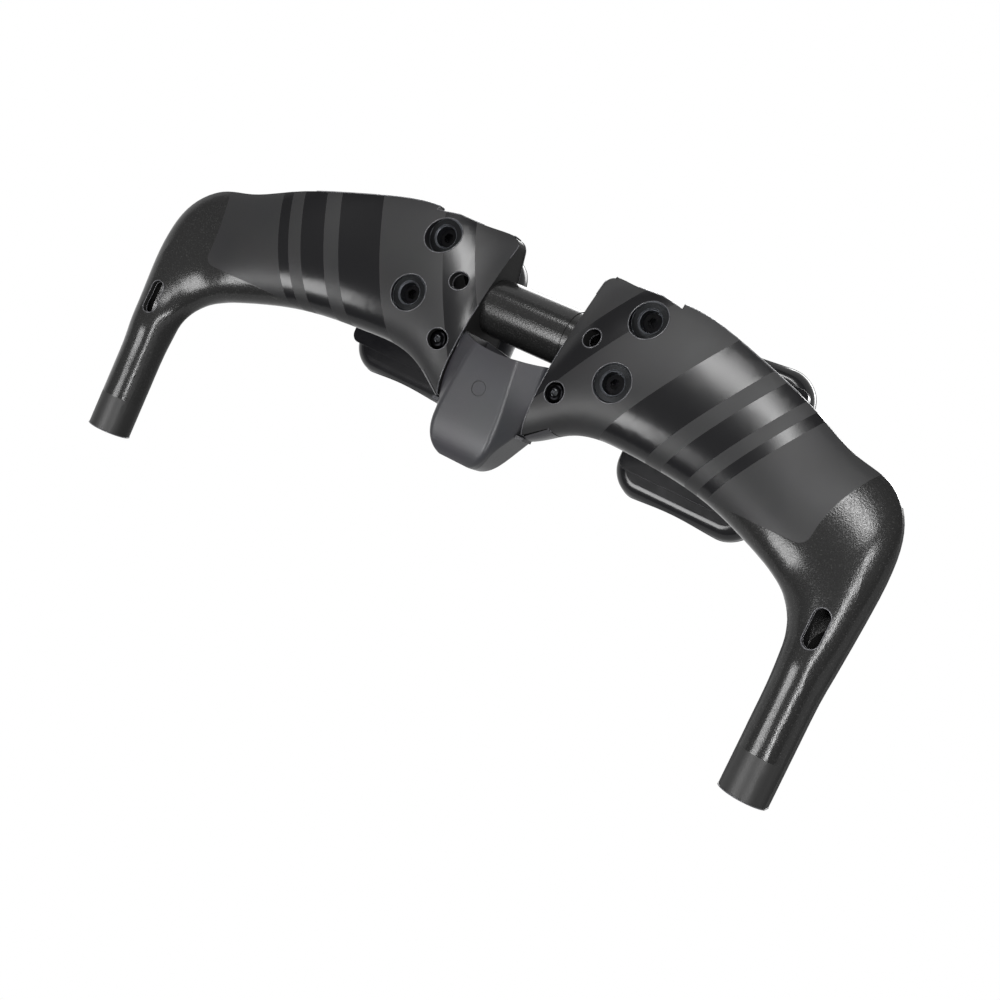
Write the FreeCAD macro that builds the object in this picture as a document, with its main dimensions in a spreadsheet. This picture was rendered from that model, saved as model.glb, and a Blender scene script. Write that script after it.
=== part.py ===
import FreeCAD, Part
import math
import os
import Sketcher

doc = FreeCAD.newDocument("aero_bar")
sheet = doc.addObject("Spreadsheet::Sheet", "Sizes")

# The bar lies as it is mounted: X to the rider's right, Y forward, Z up, and the
# origin in the middle of the clamp tube's axis. All lengths are in millimetres.
sizes = {
    # clamp tube between the wings
    "clamp_diameter": 31.8,
    "clamp_length": 46,
    "shoulder_diameter": 31.0,
    "clamp_bore": 24.6,
    "wing_gap": 55,
    "tube_depth": 24,
    # horns
    "horn_spacing": 420,
    "horn_diameter": 23.8,
    "horn_bore": 19.4,
    "bore_depth": 42,
    "horn_reach": 156.8,
    "horn_drop": 35.5,
    "horn_start": 112,
    "mouth_swell": 0.9,
    # centre of the bend in plan, and the moulding's wall
    "bend_x": 168,
    "bend_y": 92,
    "wall": 2.8,
    "tail_wall": 14,
    # cable slot under each horn and cable hole beside the clamp
    "slot_x": 209.1,
    "slot_y": 74.4,
    "slot_length": 19.5,
    "slot_width": 8.7,
    "cable_x": 42.2,
    "cable_y": -3.7,
    "cable_diameter": 10.5,
    # bolts that come up through each wing, in bushings
    "bolt_x": 64.7,
    "front_bolt_y": 12.8,
    "rear_bolt_y": -22.9,
    "front_seat_z": -26.8,
    "rear_seat_z": -16.4,
    "flange_diameter": 20.6,
    "flange_height": 2,
    "flange_bevel": 0.8,
    "bushing_diameter": 15.4,
    "bushing_length": 13,
    "bushing_bore": 12,
    "head_depth": 9.5,
    "bolt_diameter": 6,
    "bolt_head_diameter": 10,
    "bolt_head_height": 6,
    "bolt_socket": 5.8,
    "boss_diameter": 25,
    "fit_gap": 0.1,
    # raised seat for the bracket on top of each wing
    "seat_z": 14,
    "seat_inner": 50,
    "seat_outer": 81,
    "seat_front": 27,
    "seat_rear": -32.5,
    "seat_corner": 6,
    "seat_draft": 9,
    # step in the trailing edge, and its rounded inner corner
    "step_x": 77,
    "step_length": 14,
    "step_cut": 2.2,
    "end_round": 5,
    # nose cover
    "cover_gap": 0.3,
    "cover_wall": 2,
    "cover_rear": 23,
    "cover_rear_radius": 83,
    "plug_y": 43,
    "plug_diameter": 7.8,
    "plug_flange": 10.4,
    "tab_corner_x": 40.3,
    "tab_corner_y": 46.6,
    "tab_end_x": 46,
    "tab_end_y": 48.7,
    "tab_root_y": 56.2,
    "parting_gap": 0.4,
    "bridge_inner": 22.6,
    "bridge_front": 58.4,
    "bridge_low": -20,
    "bridge_high": -9,
    # cover's ears inside the wings, their inserts and screws
    "screw_x": 37.6,
    "screw_y": 28.8,
    "ear_end": 43.5,
    "ear_width": 16,
    "ear_low": -21,
    "ear_high": -15,
    "insert_diameter": 5.8,
    "screw_diameter": 4,
    "screw_head_diameter": 11,
    "screw_head_height": 3.2,
    "screw_socket": 3.4,
    "screw_seat_z": -22.8,
    # bracket with the bore for an extension tube
    "extension_diameter": 22.2,
    "extension_x": 40,
    "extension_z": 33,
    "ring_diameter": 28,
    "ring_rear": 2,
    "ring_front": 26,
    "slit": 1.6,
    "foot_height": 6,
    "bracket_inner": 51,
    "bracket_outer": 80,
    "bracket_rear": -32,
    "rear_post_front": -13,
    "plate_z": 40,
    "plate_outer": 100,
    "bracket_top": 46,
    "bracket_corner": 5,
    "thread_end": 43,
    # arm cup
    "cup_step": 5,
    "cup_height": 11,
    "cup_corner": 18,
    "cup_edge": 8,
    "cup_rear": -35,
    "cup_front": 63.8,
    "cup_rear_inner": 48.6,
    "cup_rear_outer": 138,
    "cup_front_inner": 51.4,
    "cup_front_outer": 138.2,
    "step_front": 50.5,
    "step_rear": -26,
    "step_inner": 56,
    "step_outer": 136.5,
    "trough_x": 94,
    "trough_radius": 110,
    "cup_floor": 3,
    # screws of the cup, with washers
    "cup_screw_x": 89,
    "cup_screw_rear": -20,
    "cup_screw_front": 14,
    "cup_screw_diameter": 5,
    "cup_head_diameter": 9,
    "cup_head_height": 2.6,
    "cup_socket": 3.4,
    "washer_diameter": 11,
    "washer_height": 1,
    # pad and the patches that hold it
    "pad_thickness": 8,
    "pad_inset": 2.4,
    "pad_height": 9,
    "patch_thickness": 1.7,
    "patch_width": 18,
    "patch_length": 64,
    "patch_offset": 25,
    "touch_gap": 0.1,
}

# Sections of the wing, from its root outwards, at the distance x from the middle:
# front and rear end, their heights, and how far it swells below and above the line between them.
wing_names = ("x", "front", "rear", "front_z", "rear_z", "below", "above", "taper_below", "taper_above")
wing_rows = {
    "root": (27.5, 58, -37.4, -14, -0.5, 12.8, 26, 0.5, 0.65),
    "collar": (45, 47.4, -37.2, -14, -6, 14.8, 23.5, 0.36, 0.6),
    "bolts": (64, 41.3, -37, -14.8, -11.5, 12.9, 19, 0.55, 0.6),
    "shoulder": (85, 41.2, -36.6, -15.5, -12.8, 12.8, 15.5, 0.55, 0.55),
    "middle": (112, 43.2, -30.6, -18.5, -15.6, 12.4, 13, 0.55, 0.55),
    "outer": (142, 49, -20.8, -23.6, -20.8, 12, 12, 0.5, 0.5),
}
# Sections of the bend, turned about the bend's centre: angle from the wing's direction, and
# the distances of the inner and outer side from that centre.
bend_names = ("angle", "inner", "reach", "inner_z", "outer_z", "half", "taper")
bend_rows = {
    "elbow": (0, 34, 102.5, -29, -24, 11.8, 0.45),
    "sweep": (12, 31.8, 96, -30, -26, 11.8, 0.4),
    "heel": (24, 30.6, 96.8, -30.8, -27, 12, 0.3),
    "corner": (35, 30, 91, -31.4, -31.2, 12.2, 0.2),
    "turn": (46, 29.5, 79, -32.2, -34.4, 12.2, 0.12),
    "neck": (60, 29.2, 65.6, -33.4, -35.4, 12, 0.04),
    "throat": (75, 29, 57.8, -34.6, -35.5, 11.9, 0),
}
# Sections of the nose cover along Y: half widths of the flat panel, the sides and the top,
# with the heights where they begin and end.
cover_names = ("y", "panel", "bottom", "side", "low", "high", "roof", "top", "round")
cover_rows = {
    "back": (10, 12, -28.5, 27.6, -22.5, 5, 17, 15, 4),
    "lip": (27, 13.6, -31, 27.6, -22, 5, 17, 16, 4.4),
    "belly": (48, 16.8, -31, 27.6, -20.8, 4, 16, 15, 4.4),
    "cheek": (60, 18.4, -30.8, 24, -21.5, 0, 13, 10, 4.4),
    "brow": (70, 18.6, -30, 20, -25, -4, 11, 5, 3.6),
    "nose": (78, 15.4, -27.6, 16.6, -23.6, -9, 8, -1, 2.6),
    "tip": (82.6, 9.4, -24, 10.4, -21.4, -12, 5, -7, 1.4),
}

tables = ((wing_names, wing_rows), (bend_names, bend_rows), (cover_names, cover_rows))
for names, rows in tables:
    for station, values in rows.items():
        for name, value in zip(names, values):
            sizes[station + "_" + name] = value

for line, (name, value) in enumerate(sizes.items(), start=1):
    sheet.set("A%d" % line, name)
    sheet.set("B%d" % line, str(value))
    sheet.setAlias("B%d" % line, name)
doc.recompute()

turns = {
    "Z": FreeCAD.Rotation(),
    "X": FreeCAD.Rotation(FreeCAD.Vector(0, 1, 0), 90),
    "Y": FreeCAD.Rotation(FreeCAD.Vector(1, 0, 0), -90),
}


def size(name):
    return float(sheet.get(name))


def number(expression):
    return float(sheet.evalExpression(expression))


def primitive(kind, name, place, axis="Z", **bound):
    item = doc.addObject(kind, name)
    item.Placement = FreeCAD.Placement(FreeCAD.Vector(), turns[axis])
    for side, expression in zip("xyz", place):
        item.setExpression("Placement.Base." + side, expression)
    for key, expression in bound.items():
        item.setExpression(key, expression)
    return item


def cylinder(name, diameter, low, length, place, axis="Z"):
    spots = dict(zip("XYZ", place))
    spots[axis] = low
    base = [spots[side] for side in "XYZ"]
    return primitive("Part::Cylinder", name, base, axis, Radius="(%s) / 2" % diameter, Height=length)


def cone(name, low_diameter, high_diameter, low, length, place):
    radii = {"Radius1": "(%s) / 2" % low_diameter, "Radius2": "(%s) / 2" % high_diameter}
    return primitive("Part::Cone", name, place[:2] + (low,), Height=length, **radii)


def hexagon(name, width, low, depth, place):
    item = primitive("Part::Prism", name, place + (low,), Circumradius="(%s) / 2" % width, Height=depth)
    item.Polygon = 6
    return item


def fuse(name, *items):
    item = doc.addObject("Part::MultiFuse", name)
    item.Shapes = list(items)
    item.Refine = True
    return item


def cut(name, base, *tools):
    item = doc.addObject("Part::Cut", name)
    item.Base = base
    item.Tool = tools[0] if len(tools) == 1 else fuse(name + "_tools", *tools)
    return item


def common(name, *items):
    item = doc.addObject("Part::MultiCommon", name)
    item.Shapes = list(items)
    return item


def group(name, *items):
    item = doc.addObject("Part::Compound", name)
    item.Links = list(items)
    return item


def mirrored(name, source):
    item = doc.addObject("Part::Mirroring", name)
    item.Source = source
    item.Normal = FreeCAD.Vector(1, 0, 0)
    return item


def made(name, shape):
    item = doc.addObject("Part::Feature", name)
    item.Shape = shape
    item.Placement = FreeCAD.Placement()
    return item


def prism(name, corners, low, high, corner_radius=None, edge_radius=None, draft=None):
    # A flat outline in plan, padded from one height to another, with its upright edges rounded
    # and, where a second radius is given, its lower rim too. A draft widens it downwards from its top.
    body = doc.addObject("PartDesign::Body", name)
    plane = [item for item in body.Origin.OriginFeatures if item.Role == "XY_Plane"][0]
    sketch = body.newObject("Sketcher::SketchObject", name + "_outline")
    sketch.AttachmentSupport = (plane, [""])
    sketch.MapMode = "FlatFace"
    sketch.setExpression("AttachmentOffset.Base.z", high if draft else low)
    spots = [FreeCAD.Vector(number(x), number(y), 0) for x, y in corners]
    count = len(spots)
    for k in range(count):
        sketch.addGeometry(Part.LineSegment(spots[k], spots[(k + 1) % count]))
    for k in range(count):
        sketch.addConstraint(Sketcher.Constraint("Coincident", k, 2, (k + 1) % count, 1))
    for k, (x, y) in enumerate(corners):
        for kind, expression, value in (("DistanceX", x, spots[k].x), ("DistanceY", y, spots[k].y)):
            index = sketch.addConstraint(Sketcher.Constraint(kind, -1, 1, k, 1, value))
            sketch.setExpression("Constraints[%d]" % index, expression)
    pad = body.newObject("PartDesign::Pad", name + "_pad")
    pad.Profile = sketch
    pad.setExpression("Length", "(%s) - (%s)" % (high, low))
    if draft:
        pad.Reversed = True
        pad.setExpression("TaperAngle", draft)
    doc.recompute()
    last = pad
    if corner_radius:
        last = rounded(body, name + "_corners", last, corner_radius, upright)
    if edge_radius:
        floor = number(low)
        last = rounded(body, name + "_rim", last, edge_radius, lambda edge: lies_at(edge, floor))
    body.Tip = last
    doc.recompute()
    return body


def upright(edge):
    return edge.BoundBox.ZLength > 1e-3


def lies_at(edge, height):
    return edge.BoundBox.ZLength < 1e-6 and abs(edge.BoundBox.ZMin - height) < 1e-6


def rounded(body, name, base, radius, wanted):
    item = body.newObject("PartDesign::Fillet", name)
    item.Base = (base, ["Edge%d" % (k + 1) for k, edge in enumerate(base.Shape.Edges) if wanted(edge)])
    item.setExpression("Radius", radius)
    doc.recompute()
    return item


def box_corners(x_low, x_high, y_low, y_high):
    return ((x_low, y_low), (x_high, y_low), (x_high, y_high), (x_low, y_high))


def drop_section(count, place, inner, outer, inner_z, outer_z, below, above, taper_below, taper_above):
    # Points of a drop-shaped curve, blunt at its inner end and thinner towards its outer end,
    # where it stays open by the thickness of the trailing edge.
    points = []
    whole = 1 + math.cos(2 * math.pi / count)
    for k in range(1, count):
        turn = math.pi * (2 * k / count - 1)
        along = math.cos(turn)
        lift = math.sin(turn)
        reach = inner + (outer - inner) * (1 - along) / whole
        swell, taper = (above, taper_above) if lift > 0 else (below, taper_below)
        middle = inner_z * (1 + along) / 2 + outer_z * (1 - along) / 2
        points.append(place(reach, middle + swell * lift * (1 + taper * along)))
    return points


def wing_section(count, station, inset, tail_inset):
    x, front, rear, front_z, rear_z, below, above, taper_below, taper_above = (
        size(station + "_" + name) for name in wing_names
    )
    if station == "root":
        x = size("wing_gap") / 2
    return drop_section(
        count,
        lambda reach, z: FreeCAD.Vector(x, -reach, z),
        -front + inset,
        -rear - tail_inset,
        front_z,
        rear_z,
        below - inset,
        above - inset,
        taper_below,
        taper_above,
    )


def bend_section(count, station, inset, tail_inset):
    angle, inner, outer, inner_z, outer_z, half, taper = (size(station + "_" + name) for name in bend_names)
    turn = math.radians(angle)
    centre = FreeCAD.Vector(size("bend_x"), size("bend_y"), 0)
    aim = FreeCAD.Vector(math.sin(turn), -math.cos(turn), 0)
    return drop_section(
        count,
        lambda reach, z: centre + aim * reach + FreeCAD.Vector(0, 0, z),
        inner + inset,
        outer - tail_inset,
        inner_z,
        outer_z,
        half - inset,
        half - inset,
        taper,
        taper,
    )


def horn_section(count, y, inset, swell):
    middle = size("horn_spacing") / 2
    half = size("horn_diameter") / 2 + swell - inset
    drop = -size("horn_drop")
    return drop_section(
        count,
        lambda reach, z: FreeCAD.Vector(reach, y, z),
        middle - half,
        middle + half,
        drop,
        drop,
        half,
        half,
        0,
        0,
    )


def bar_rows(count, first, inset, tail_inset, straight):
    # The wing, bend and horn as one smooth skin through all sections from the named one on.
    wing = list(wing_rows)
    bend = list(bend_rows)
    thinning = [1 - k / (len(bend) - 1) for k in range(len(bend))]
    rows = [wing_section(count, station, inset, tail_inset) for station in wing[wing.index(first):]]
    for station, share in zip(bend, thinning):
        rows.append(bend_section(count, station, inset, inset + (tail_inset - inset) * share))
    for share in (0, 0.5, 1):
        y = size("bend_y") + (size("horn_start") - size("bend_y")) * share
        rows.append(horn_section(count, y, inset, size("mouth_swell") * (1 - share) ** 2))
    for share in straight:
        y = size("horn_start") + (size("horn_reach") - size("horn_start")) * share
        rows.append(horn_section(count, y, inset, 0))
    return rows


def smooth_form(rows):
    # One smooth skin through the sections, closed by the flat trailing edge and the two ends.
    surface = Part.BSplineSurface()
    surface.interpolate(rows)
    first_u, last_u, first_v, last_v = surface.bounds()
    faces = [surface.toShape()]
    faces.append(Part.makeRuledSurface(surface.vIso(first_v).toShape(), surface.vIso(last_v).toShape()))
    for u in (first_u, last_u):
        rib = surface.uIso(u).toShape()
        spar = Part.LineSegment(surface.value(u, last_v), surface.value(u, first_v)).toShape()
        faces.append(Part.Face(Part.Wire([rib, spar])))
    return closed(faces)


def faceted_form(rows):
    # Straight runs from section to section, closed by the two ends, for the hollow inside.
    loops = [row + row[:1] for row in rows]
    faces = [Part.Face(Part.makePolygon(loop)) for loop in (loops[0], loops[-1])]
    for near, far in zip(loops, loops[1:]):
        for k in range(len(near) - 1):
            first = Part.LineSegment(near[k], near[k + 1]).toShape()
            second = Part.LineSegment(far[k], far[k + 1]).toShape()
            faces.append(Part.makeRuledSurface(first, second))
    return closed(faces)


def closed(faces):
    shell = Part.Shell(faces)
    shell.sewShape()
    form = Part.Solid(shell)
    if form.Volume < 0:
        form.reverse()
    return form


# Base bar: one half with all its cuts, then its mirror image
skin_rows = bar_rows(18, "root", 0, 0, (0.25, 0.5, 0.75, 1))
skin = made("skin", smooth_form(skin_rows))
hollow_rows = bar_rows(12, "collar", size("wall"), size("tail_wall"), (0.25,))
hollow_skin = made("hollow_skin", faceted_form(hollow_rows))
clamp_middle = ("0", "0", "0")
half_gap = "Sizes.wing_gap / 2"
tube_end = half_gap + " + Sizes.tube_depth"
shoulder = cylinder("shoulder", "Sizes.shoulder_diameter", "0", tube_end, clamp_middle, "X")
grip = cylinder("grip", "Sizes.clamp_diameter", "0", "Sizes.clamp_length / 2", clamp_middle, "X")
seat = prism(
    "seat",
    box_corners("Sizes.seat_inner", "Sizes.seat_outer", "Sizes.seat_rear", "Sizes.seat_front"),
    "Sizes.bolts_rear_z",
    "Sizes.seat_z",
    "Sizes.seat_corner",
    draft="Sizes.seat_draft",
)
horn_place = ("Sizes.horn_spacing / 2", "0", "-Sizes.horn_drop")
solid_half = fuse("solid_half", skin, shoulder, grip, seat)

bolt_spots = {"front": ("Sizes.bolt_x", "Sizes.front_bolt_y"), "rear": ("Sizes.bolt_x", "Sizes.rear_bolt_y")}
far_below = "-Sizes.horn_reach"
bosses = []
holes = []
for end, spot in bolt_spots.items():
    place = spot + ("0",)
    floor = "Sizes.%s_seat_z" % end
    wide = "Sizes.flange_diameter + 2 * Sizes.fit_gap"
    snug = "Sizes.bushing_diameter + 2 * Sizes.fit_gap"
    loose = "Sizes.bolt_diameter + 4 * Sizes.fit_gap"
    rise = "Sizes.horn_reach + (%s)" % floor
    bosses.append(cylinder(end + "_boss", "Sizes.boss_diameter", far_below, "2 * Sizes.horn_reach", place))
    holes.append(cylinder(end + "_well", wide, far_below, rise + " + Sizes.flange_height", place))
    holes.append(cylinder(end + "_sleeve_hole", snug, far_below, rise + " + Sizes.bushing_length", place))
    holes.append(cylinder(end + "_bolt_hole", loose, far_below, "2 * Sizes.horn_reach", place))
hollow = cut("hollow", hollow_skin, *bosses)

bore = cylinder("bore", "Sizes.clamp_bore", "0", tube_end, clamp_middle, "X")
horn_bore = cylinder(
    "horn_bore", "Sizes.horn_bore", "Sizes.horn_reach - Sizes.bore_depth", "Sizes.bore_depth", horn_place, "Y"
)
cable_place = ("Sizes.cable_x", "Sizes.cable_y", "0")
cable_hole = cylinder("cable_hole", "Sizes.cable_diameter", far_below, "Sizes.horn_reach", cable_place)
slot = prism(
    "slot",
    box_corners(
        "Sizes.slot_x - Sizes.slot_width / 2",
        "Sizes.slot_x + Sizes.slot_width / 2",
        "Sizes.slot_y - Sizes.slot_length / 2",
        "Sizes.slot_y + Sizes.slot_length / 2",
    ),
    "-2 * Sizes.horn_drop",
    "-Sizes.horn_drop",
    "Sizes.slot_width / 2 - 0.01",
)
screw_place = ("Sizes.screw_x", "Sizes.screw_y", "0")
screw_well = cylinder(
    "screw_well",
    "Sizes.screw_head_diameter + 8 * Sizes.fit_gap",
    far_below,
    "Sizes.horn_reach + Sizes.screw_seat_z",
    screw_place,
)
screw_hole = cylinder(
    "screw_hole",
    "Sizes.screw_diameter + 4 * Sizes.fit_gap",
    far_below,
    "Sizes.horn_reach + Sizes.ear_high",
    screw_place,
)
ear_rear = "Sizes.screw_y - Sizes.ear_width / 2"
ear_front = "Sizes.screw_y + Sizes.ear_width / 2"
ear_pocket = prism(
    "ear_pocket",
    box_corners(
        half_gap + " - 1",
        "Sizes.ear_end + Sizes.cover_gap",
        ear_rear + " - Sizes.cover_gap",
        ear_front + " + Sizes.cover_gap",
    ),
    "Sizes.ear_low - Sizes.cover_gap",
    "Sizes.ear_high + Sizes.cover_gap",
)


def tab_corners(root_x, gap):
    # The part of the leading edge that the cover's tab takes over.
    return (
        (root_x, "Sizes.tab_root_y + " + gap),
        ("Sizes.tab_corner_x", "Sizes.tab_corner_y + " + gap),
        ("Sizes.tab_end_x - " + gap, "Sizes.tab_end_y + " + gap),
        ("Sizes.tab_end_x - " + gap, "Sizes.bend_y"),
        (root_x, "Sizes.bend_y"),
    )


tab_rebate = prism(
    "tab_rebate", tab_corners(half_gap + " - 1", "0"), "-Sizes.horn_drop", "Sizes.horn_drop"
)
step_cutter = prism(
    "step_cutter",
    (
        ("Sizes.step_x - Sizes.step_length", "Sizes.shoulder_rear - Sizes.step_cut / 4"),
        ("Sizes.step_x - Sizes.step_length", "2 * Sizes.shoulder_rear"),
        ("Sizes.step_x", "2 * Sizes.shoulder_rear"),
        ("Sizes.step_x", "Sizes.shoulder_rear + Sizes.step_cut"),
    ),
    "-Sizes.horn_drop",
    "Sizes.horn_drop",
)
seat_face = prism(
    "seat_face",
    box_corners("Sizes.seat_inner", "Sizes.seat_outer", "Sizes.seat_rear", "Sizes.seat_front"),
    "Sizes.seat_z",
    "2 * Sizes.seat_z",
)
corner_block = prism(
    "corner_block",
    box_corners(
        half_gap + " - 1",
        half_gap + " + Sizes.end_round",
        "2 * Sizes.root_rear",
        "Sizes.root_rear + Sizes.end_round",
    ),
    "-Sizes.horn_drop",
    "Sizes.horn_drop",
)
corner_place = (half_gap + " + Sizes.end_round", "Sizes.root_rear + Sizes.end_round", "0")
corner_round = cylinder(
    "corner_round", "2 * Sizes.end_round", "-2 * Sizes.horn_drop", "4 * Sizes.horn_drop", corner_place
)
end_corner = cut("end_corner", corner_block, corner_round)
half_bar = cut(
    "half_bar",
    solid_half,
    hollow,
    bore,
    horn_bore,
    cable_hole,
    slot,
    screw_well,
    screw_hole,
    ear_pocket,
    tab_rebate,
    step_cutter,
    end_corner,
    seat_face,
    *holes
)
base_bar = fuse("base_bar", half_bar, mirrored("other_half_bar", half_bar))


# Nose cover: a hollow moulding with rounded ridges, open to the rear
def rounded_ring(corners, radius):
    count = len(corners)
    starts = []
    for k in range(count):
        before = (corners[k - 1] - corners[k]).normalize()
        after = (corners[(k + 1) % count] - corners[k]).normalize()
        half_angle = before.getAngle(after) / 2
        back = radius / math.tan(half_angle)
        heart = corners[k] + (before + after).normalize() * (radius / math.sin(half_angle))
        middle = heart + (corners[k] - heart).normalize() * radius
        starts.append((corners[k] + before * back, middle, corners[k] + after * back))
    edges = []
    for k in range(count):
        begin, middle, end = starts[k]
        edges.append(Part.Arc(begin, middle, end).toShape())
        edges.append(Part.LineSegment(end, starts[(k + 1) % count][0]).toShape())
    return Part.Wire(edges)


def cover_section(station, inset=0):
    # The outside of the cover has rounded ridges; the core inside it, set in by the wall, has plain ones.
    values = [size(station + "_" + name) for name in cover_names]
    y, panel, bottom, side, low, high, roof, top, radius = values
    half = (
        (panel - inset, bottom + inset),
        (side - inset, low + inset / 4),
        (side - inset, high - inset / 4),
        (roof - inset, top - inset),
    )
    ring = [FreeCAD.Vector(x, 0, z) for x, z in half]
    ring += [FreeCAD.Vector(-x, 0, z) for x, z in reversed(half)]
    wire = Part.makePolygon(ring + ring[:1]) if inset else rounded_ring(ring, radius)
    wire.translate(FreeCAD.Vector(0, y, 0))
    return wire


cover_form = made("cover_form", Part.makeLoft([cover_section(name) for name in cover_rows], True, False))
core_rings = [cover_section(name, size("cover_wall")) for name in cover_rows]
core_shape = Part.makeLoft(core_rings, True, True)
core_shape.translate(FreeCAD.Vector(0, -size("cover_wall"), 0))
cover_core = made("cover_core", core_shape)
rear_trim = cylinder(
    "rear_trim",
    "2 * Sizes.cover_rear_radius",
    "-2 * Sizes.horn_drop",
    "4 * Sizes.horn_drop",
    ("0", "Sizes.cover_rear - Sizes.cover_rear_radius", "0"),
)
plug_place = ("0", "Sizes.plug_y", "0")
plug_hole = cylinder(
    "plug_hole",
    "Sizes.plug_diameter + 2 * Sizes.fit_gap",
    "2 * Sizes.belly_bottom",
    "-Sizes.belly_bottom * 3 / 2",
    plug_place,
)
tab_region = prism(
    "tab_region", tab_corners(half_gap, "Sizes.parting_gap"), "-Sizes.horn_drop", "Sizes.horn_drop"
)
tab = common("tab", skin, tab_region)
bridge_region = prism(
    "bridge_region",
    box_corners(
        "Sizes.bridge_inner",
        half_gap + " + Sizes.cover_wall",
        "Sizes.tab_root_y + Sizes.parting_gap",
        "Sizes.bridge_front",
    ),
    "Sizes.bridge_low",
    "Sizes.bridge_high",
)
ear_block = prism(
    "ear_block",
    box_corners("Sizes.belly_side - Sizes.cover_wall", "Sizes.ear_end", ear_rear, ear_front),
    "Sizes.ear_low",
    "Sizes.ear_high",
)
insert_hole = cylinder(
    "insert_hole",
    "Sizes.insert_diameter + Sizes.fit_gap",
    "Sizes.ear_low - 1",
    "Sizes.ear_high - Sizes.ear_low + 2",
    screw_place,
)
cover_slab = prism(
    "cover_slab",
    box_corners(
        "-Sizes.wing_gap / 2 + Sizes.cover_gap", half_gap + " - Sizes.cover_gap", "0", "2 * Sizes.tip_y"
    ),
    "-2 * Sizes.horn_drop",
    "2 * Sizes.horn_drop",
)
cover_block = common("cover_block", cover_form, cover_slab)
cover_shell = cut("cover_shell", cover_block, cover_core, rear_trim, plug_hole)
ear = cut("ear", ear_block, insert_hole)
nose_cover = fuse(
    "nose_cover",
    cover_shell,
    tab,
    bridge_region,
    ear,
    mirrored("other_tab", tab),
    mirrored("other_bridge", bridge_region),
    mirrored("other_ear", ear),
)
plug_length = "Sizes.cover_wall + 1"
plug_stem = cylinder("plug_stem", "Sizes.plug_diameter", "Sizes.belly_bottom", plug_length, plug_place)
plug_top = cylinder(
    "plug_top",
    "Sizes.plug_flange",
    "Sizes.belly_bottom + Sizes.cover_wall + Sizes.touch_gap",
    "1",
    plug_place,
)
cover_plug = fuse("cover_plug", plug_stem, plug_top)


# Fasteners
def screw(name, diameter, length, head_diameter, head_height, socket, seat, place, up):
    # A cap screw whose head bears at the seat height; the shank runs up or down from there.
    if up:
        shank = cylinder(name + "_shank", diameter, seat, length, place)
        below = "(%s) - (%s)" % (seat, head_height)
        head = cylinder(name + "_head", head_diameter, below, head_height, place)
        key = hexagon(name + "_key", socket, below, "(%s) * 0.6" % head_height, place[:2])
    else:
        shank = cylinder(name + "_shank", diameter, "(%s) - (%s)" % (seat, length), length, place)
        head = cylinder(name + "_head", head_diameter, seat, head_height, place)
        floor = "(%s) + (%s) * 0.4" % (seat, head_height)
        key = hexagon(name + "_key", socket, floor, "(%s) * 0.6" % head_height, place[:2])
    return cut(name, fuse(name + "_solid", shank, head), key)


cover_screw = screw(
    "cover_screw",
    "Sizes.screw_diameter",
    "Sizes.ear_high - Sizes.screw_seat_z",
    "Sizes.screw_head_diameter",
    "Sizes.screw_head_height",
    "Sizes.screw_socket",
    "Sizes.screw_seat_z",
    screw_place,
    True,
)
cover_screws = group("cover_screws", cover_screw, mirrored("other_cover_screw", cover_screw))
insert_solid = cylinder(
    "insert_solid", "Sizes.insert_diameter", "Sizes.ear_low", "Sizes.ear_high - Sizes.ear_low", screw_place
)
insert_bore = cylinder(
    "insert_bore",
    "Sizes.screw_diameter + Sizes.fit_gap",
    "Sizes.ear_low - 1",
    "Sizes.ear_high - Sizes.ear_low + 2",
    screw_place,
)
cover_insert = cut("cover_insert", insert_solid, insert_bore)
cover_inserts = group("cover_inserts", cover_insert, mirrored("other_cover_insert", cover_insert))

bushings = []
bolts = {}
for end, spot in bolt_spots.items():
    place = spot + ("0",)
    floor = "Sizes.%s_seat_z" % end
    shelf = floor + " + Sizes.head_depth"
    bevel = "Sizes.flange_bevel"
    narrow = "Sizes.flange_diameter - 2 * " + bevel
    edge = cone(end + "_flange_edge", narrow, "Sizes.flange_diameter", floor, bevel, place)
    rim = floor + " + " + bevel
    collar_height = "Sizes.flange_height - " + bevel
    collar = cylinder(end + "_collar", "Sizes.flange_diameter", rim, collar_height, place)
    flare = "Sizes.bushing_bore + 2 * " + bevel
    mouth = cone(end + "_mouth", flare, "Sizes.bushing_bore", floor, bevel, place)
    sleeve = cylinder(end + "_sleeve", "Sizes.bushing_diameter", floor, "Sizes.bushing_length", place)
    cup_hole = cylinder(end + "_head_hole", "Sizes.bushing_bore", floor, "Sizes.head_depth", place)
    loose = "Sizes.bolt_diameter + 4 * Sizes.fit_gap"
    shank_hole = cylinder(end + "_shank_hole", loose, floor, "2 * Sizes.bushing_length", place)
    bushing_solid = fuse(end + "_bushing_solid", edge, collar, sleeve)
    bushing = cut(end + "_bushing", bushing_solid, mouth, cup_hole, shank_hole)
    bushings += [bushing, mirrored("other_%s_bushing" % end, bushing)]
    bolt = screw(
        end + "_bolt",
        "Sizes.bolt_diameter",
        "Sizes.thread_end - (%s)" % shelf,
        "Sizes.bolt_head_diameter",
        "Sizes.bolt_head_height",
        "Sizes.bolt_socket",
        shelf,
        place,
        True,
    )
    bolts[end] = group(end + "_bracket_bolts", bolt, mirrored("other_%s_bolt" % end, bolt))
bolt_bushings = group("bolt_bushings", *bushings)

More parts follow.
